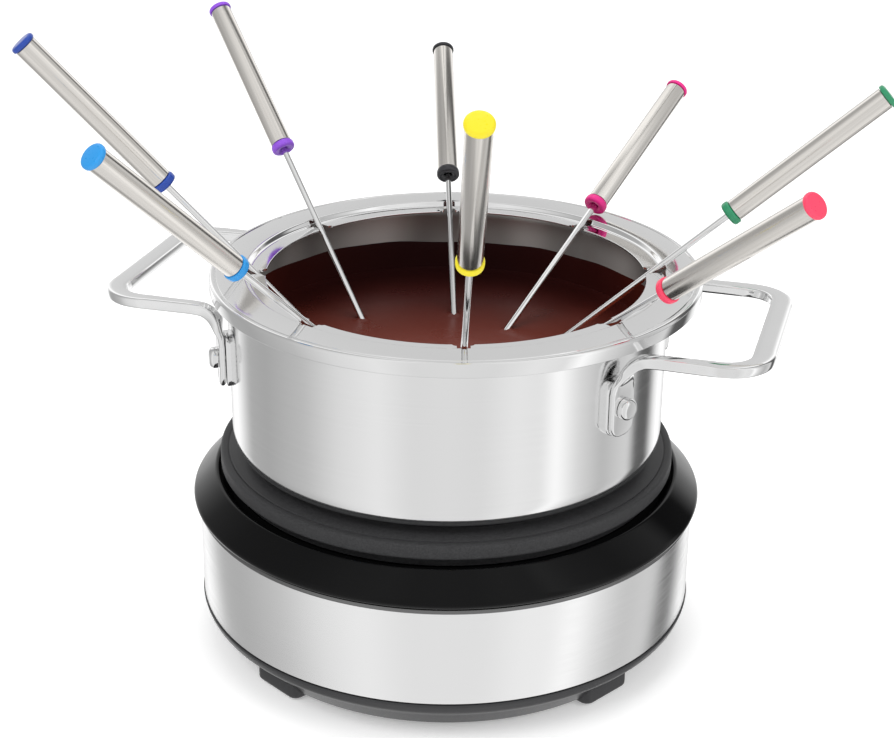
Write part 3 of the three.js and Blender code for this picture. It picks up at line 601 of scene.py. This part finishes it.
# ---------------------------------------------------------------- fork ring
rack_low, rack_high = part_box("fork_rack")
rack_centre = Vector(((rack_low.x + rack_high.x) / 2, (rack_low.y + rack_high.y) / 2, 0))
rack_top = rack_high.z / MM
low = rack_top - 2
ring_bm = turned([
    [75.5, low - 0.8, 0.3], [75.5, low, 0.3], [82.4, low, 0.8], [83.6, rack_top, 0.7],
    [95.0, rack_top, 0.1], [95.25, rack_top - 0.35], [95.65, rack_top - 0.35], [95.9, rack_top, 0.1],
    [97.1, rack_top, 1.0], [97.8, rack_top - 1.0, 0.7], [97.8, rack_top - 5.7, 0.3],
    [97.0, rack_top - 5.7, 0.2], [97.0, rack_top - 1.2], [96.5, rack_top - 0.8],
    [84.2, rack_top - 0.8, 0.5], [83.0, low - 0.8, 0.5],
], sides=288)
rack = finish_piece("rack", ring_bm, mirror, "rack", ["fork_rack"], smooth=32)
rack.location = rack_centre
RACK_SMOOTH = 32
NOTCHES, FIRST_NOTCH = 8, 2  # the first notch's bearing in degrees
cutters = bmesh.new()
for k in range(NOTCHES):
    spin = Matrix.Rotation(math.radians(FIRST_NOTCH + 360 / NOTCHES * k - 90), 4, "Z")
    outline = [(71.5, -4.1), (75.3, -4.1)]
    for s in range(1, 7):
        turn = math.radians(15 * s)
        outline.append((75.3 + 1.6 * math.sin(turn), -4.1 + 1.6 * (1 - math.cos(turn))))
    for s in range(0, 7):
        turn = math.radians(-90 + 15 * s)
        outline.append((82.9 + 1.1 * math.cos(turn), -1.4 + 1.1 * math.sin(turn)))
    outline += [(x, -y) for x, y in reversed(outline)]
    part = slab(outline, low - 5, low + 7)
    bmesh.ops.transform(part, matrix=spin, verts=part.verts)
    bmesh.ops.recalc_face_normals(part, faces=part.faces)
    merge(cutters, part)
cutter_mesh = bpy.data.meshes.new("notches")
cutters.to_mesh(cutter_mesh)
cutters.free()
cutter = bpy.data.objects.new("notches", cutter_mesh)
bpy.context.scene.collection.objects.link(cutter)
cutter.location = rack_centre
cut = rack.modifiers.new("notches", "BOOLEAN")
cut.object = cutter
cut.operation = "DIFFERENCE"
cut.solver = "EXACT"
bpy.context.view_layer.update()
evaluated = rack.evaluated_get(bpy.context.evaluated_depsgraph_get())
notched = bpy.data.meshes.new_from_object(evaluated)
rack.modifiers.clear()
rack.data = notched
bpy.data.objects.remove(cutter)
rack.data.shade_smooth()
rack.data.set_sharp_from_angle(angle=math.radians(RACK_SMOOTH))


# ---------------------------------------------------------------- forks
def far_centre(node, direction):
    """Centre of a turned CAD piece's far end, in a direction along its axis."""
    points = [v.co for v in frame["nodes"][node].data.vertices]
    farthest = max(p.dot(direction) for p in points)
    ring = [p for p in points if p.dot(direction) > farthest - 1e-5]
    return sum(ring, Vector()) / len(ring)


axes = {j["child"]: Vector(j["axis"]).normalized() for j in frame["joints"]}


def prong(bm, side, place):
    """One tine: a tapered flat rod that bends in to the shaft."""
    # Each knot is the distance from the axis, the height above the tip and the radius.
    knots = [
        (3.0, 0.0, 0.12), (2.85, 3, 0.5), (2.5, 7, 0.75), (2.4, 22, 0.8), (2.2, 27, 0.85),
        (1.0, 33, 0.95), (0.4, 36, 1.0),
    ]
    path = smooth_path([Vector(k) for k in knots], 30)
    stations = []
    for x, z, radius in path:
        stations.append((
            place @ Vector((side * x * MM, 0, z * MM)), place.to_3x3() @ Vector((1, 0, 0)),
            place.to_3x3() @ Vector((0, 1, 0)), radius * MM, radius * 0.9 * MM, 2.4,
        ))
    swept(stations, bm)


def fork(colour):
    """One fork on the axis of its CAD handle; gives the point between its tines' tips and its direction."""
    body = f"fork_{colour}"
    along = axes[body]
    tube_start, tube_end = FORK_TUBE
    tip = far_centre(f"{body}_handle", along) - along * tube_end * MM
    spread = (Vector((0, 0, 1)) - along * along.z).normalized()
    basis = Matrix((spread, along.cross(spread), along)).transposed().to_4x4()
    place = Matrix.Translation(tip) @ basis
    shaft = turned([[0, 34], [1.3, 34.6, 0.3], [1.3, 141, 0.2], [0, 141]], 24, closed=False, place=place)
    for side in (-1, 1):
        prong(shaft, side, place)
    finish_piece(f"{body}_shaft", shaft, mirror, body, [f"{body}_tines"], smooth=55)
    trim = new_material(f"trim_{colour}", TRIM_COLOURS[colour], 0.32, coat=0.15)
    grain(trim, (1200,) * 3, (0.26, 0.38), 0.08)
    collar = turned([
        [1.6, 138.4, 0.2], [2.9, 137.5, 0.4], [4.4, 137.5, 0.5], [5, 138.2, 0.6], [5, 140.2, 0.5],
        [4.5, 140.65, 0.2], [3.7, 140.7], [3.7, 147], [1.6, 147],
    ], FINE, place=place)
    finish_piece(f"{body}_ferrule", collar, trim, body, [f"{body}_collar"])
    # Made upright and then placed, so that its grain runs along it.
    tube = turned([
        [3.95, tube_start], [4.45, tube_start, 0.15], [4.45, tube_end, 0.15], [3.95, tube_end],
    ], FINE)
    made = finish_piece(f"{body}_tube", tube, tube_steel, body, [f"{body}_handle"])
    made.matrix_basis = place
    cap = turned([
        [0, 206], [3.7, 206], [3.7, 212.3], [4.9, 212.3, 0.2], [4.98, 213.6, 0.5], [4.2, 214.3, 0.8],
        [0, 214.5],
    ], FINE, closed=False, place=place)
    finish_piece(f"{body}_end", cap, trim, body, [f"{body}_cap"])
    return tip, along


fork_lines = [fork(colour) for colour in FORK_NAMES]


# ---------------------------------------------------------------- chocolate
_, choc_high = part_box("chocolate")
surface = choc_high.z
wall = 86.35 * MM
entries = [tip + along * ((surface - tip.z) / along.z) for tip, along in fork_lines]
choc_bm = bmesh.new()
RINGS, SPOKES = 100, 300
previous = [choc_bm.verts.new((0, 0, surface))]


def chocolate_height(x, y):
    """Level surface with a slow unevenness, and a meniscus at the wall and at each shaft."""
    edge = wall - math.hypot(x, y)
    rise = 1.6 * MM * math.exp(-max(edge, 0) / (2.6 * MM))
    rise += 0.12 * MM * math.sin(x * 70 + 1) * math.sin(y * 58)
    for spot in entries:
        far = max(math.hypot(x - spot.x, y - spot.y) - 1.3 * MM, 0)
        rise += 0.9 * MM * math.exp(-far / (1.1 * MM))
    return surface - 0.25 * MM + rise


def chocolate_ring(inner, ring):
    """Faces from the last ring, or from the centre, out to the next ring."""
    for k in range(SPOKES):
        n = (k + 1) % SPOKES
        if len(inner) == 1:
            choc_bm.faces.new((inner[0], ring[k], ring[n]))
        else:
            choc_bm.faces.new((inner[k], ring[k], ring[n], inner[n]))
    return ring


# Rings are closer together near the wall, where the meniscus is.
for r in range(1, RINGS + 1):
    radius = wall * math.sin(math.pi / 2 * r / RINGS) if r > RINGS * 0.8 else wall * r / RINGS * 1.19
    radius = min(radius, wall)
    ring = []
    for k in range(SPOKES):
        turn = 2 * math.pi * k / SPOKES
        x, y = radius * math.cos(turn), radius * math.sin(turn)
        ring.append(choc_bm.verts.new((x, y, chocolate_height(x, y))))
    previous = chocolate_ring(previous, ring)
for radius, z in ((86.3, 100), (86.0, 82), (83.4, 77.6), (80.2, 76.4)):
    ring = []
    for k in range(SPOKES):
        turn = 2 * math.pi * k / SPOKES
        x, y = radius * MM * math.cos(turn), radius * MM * math.sin(turn)
        ring.append(choc_bm.verts.new((x, y, z * MM)))
    previous = chocolate_ring(previous, ring)
choc_bm.faces.new(previous)
finish_piece("melted_chocolate", choc_bm, chocolate, "pot", ["chocolate"], smooth=80)

# Thin coat left on the wall above the surface.
film_bm = bmesh.new()
film_rings = []
for share, inset in ((0, 0.1), (0, 0.5), (0.5, 0.45), (0.93, 0.4), (1, 0.25), (1.0, 0.1)):
    ring = []
    for k in range(SPOKES):
        turn = 2 * math.pi * k / SPOKES
        edge = (
            14.2 + 0.5 * math.sin(3 * turn + 0.7) + 0.35 * math.sin(7 * turn)
            + 0.2 * math.sin(17 * turn + 2)
        )
        height = surface - 0.6 * MM + edge * MM * share
        radius = (86.66 + (height / MM - 81.6) * 0.005 - inset) * MM
        ring.append(film_bm.verts.new((radius * math.cos(turn), radius * math.sin(turn), height)))
    film_rings.append(ring)
for a, b in zip(film_rings, film_rings[1:] + film_rings[:1]):
    bridge(film_bm, a, b)
finish_piece("chocolate_coat", film_bm, coat, "pot", (), smooth=60)


# ---------------------------------------------------------------- floor, light and camera
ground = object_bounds()[0].z
floor_mesh = bpy.data.meshes.new("floor")
FLOOR = 12.0  # half the floor's width in metres
floor_corners = [(x * FLOOR, y * FLOOR, ground) for x, y in ((-1, -1), (1, -1), (1, 1), (-1, 1))]
floor_mesh.from_pydata(floor_corners, [], [(0, 1, 2, 3)])
floor = bpy.data.objects.new("floor", floor_mesh)
bpy.context.scene.collection.objects.link(floor)
floor_paint = new_material("floor", (0.93, 0.93, 0.93), 0.6, specular=0.1)
floor_shader = floor_paint.node_tree.nodes["Principled BSDF"]
floor_shader.inputs["Emission Color"].default_value = (1, 1, 1, 1)
floor_shader.inputs["Emission Strength"].default_value = 0.3
floor_mesh.materials.append(floor_paint)
floor.visible_glossy = False

world = bpy.data.worlds.new("studio")
bpy.context.scene.world = world
world.use_nodes = True
tree = world.node_tree
background = tree.nodes["Background"]
where = tree.nodes.new("ShaderNodeTexCoord")
split = tree.nodes.new("ShaderNodeSeparateXYZ")
angle = tree.nodes.new("ShaderNodeMath")
angle.operation = "ARCTAN2"
share = tree.nodes.new("ShaderNodeMapRange")
share.inputs["From Min"].default_value = -math.pi
share.inputs["From Max"].default_value = math.pi
ramp = tree.nodes.new("ShaderNodeValToRGB")
tree.links.new(where.outputs["Generated"], split.inputs["Vector"])
tree.links.new(split.outputs["X"], angle.inputs[0])
tree.links.new(split.outputs["Y"], angle.inputs[1])
tree.links.new(angle.outputs["Value"], share.inputs["Value"])
tree.links.new(share.outputs["Result"], ramp.inputs["Fac"])
tree.links.new(ramp.outputs["Color"], background.inputs["Color"])
background.inputs["Strength"].default_value = 1.0
# Brightness of the surroundings by bearing, which is what the steel reflects. Set to resemble the photo.
BRIGHTNESS = [
    (0.0, 0.8), (0.05, 0.78), (0.1, 0.9), (0.16, 0.78), (0.22, 0.55), (0.3, 0.42), (0.35, 0.45),
    (0.39, 1.0), (0.42, 1.25), (0.46, 0.75), (0.5, 0.66), (0.54, 0.72), (0.58, 1.25), (0.61, 0.9),
    (0.635, 0.1), (0.67, 0.12), (0.69, 0.75), (0.75, 0.52), (0.8, 0.78), (0.835, 1.15), (0.86, 0.85),
    (0.9, 0.9), (0.95, 0.78), (1.0, 0.8),
]
fill_ramp(ramp, [(position, (value,) * 3) for position, value in BRIGHTNESS])


def soft_light(name, location, target, width, power):
    """Area lamp aimed at a point, which the steel doesn't reflect."""
    data = bpy.data.lights.new(name, "AREA")
    data.shape = "RECTANGLE"
    data.size, data.size_y = width, width * 0.7
    data.energy = power
    lamp = bpy.data.objects.new(name, data)
    lamp.location = location
    lamp.rotation_mode = "QUATERNION"
    lamp.rotation_quaternion = (Vector(target) - Vector(location)).to_track_quat("-Z", "Y")
    bpy.context.scene.collection.objects.link(lamp)
    lamp.visible_glossy = False


soft_light("key", (-0.7, -0.7, 1.1), (0, 0, 0.08), 0.8, 6)
soft_light("fill", (0.9, -0.6, 0.8), (0, 0, 0.08), 0.7, 3)
soft_light("top", (0, 0.4, 1.3), (0, 0, 0.1), 1.0, 6)

camera_data = bpy.data.cameras.new("camera")
camera_data.lens = 72.48
camera_data.sensor_width = 36
camera_data.clip_start, camera_data.clip_end = 0.05, 20
camera = bpy.data.objects.new("camera", camera_data)
bpy.context.scene.collection.objects.link(camera)
# Fitted to the circles and forks in the photo.
DROP = math.radians(23.43)
ROLL = math.radians(0.51)
ahead = Vector((0, math.cos(DROP), -math.sin(DROP)))
camera.location = (0, -0.6739, 0.3948)
camera.rotation_mode = "QUATERNION"
camera.rotation_quaternion = ahead.to_track_quat("-Z", "Y") @ Quaternion((0, 0, 1), ROLL)
bpy.context.scene.camera = camera
bpy.context.scene.view_settings.view_transform = "Standard"
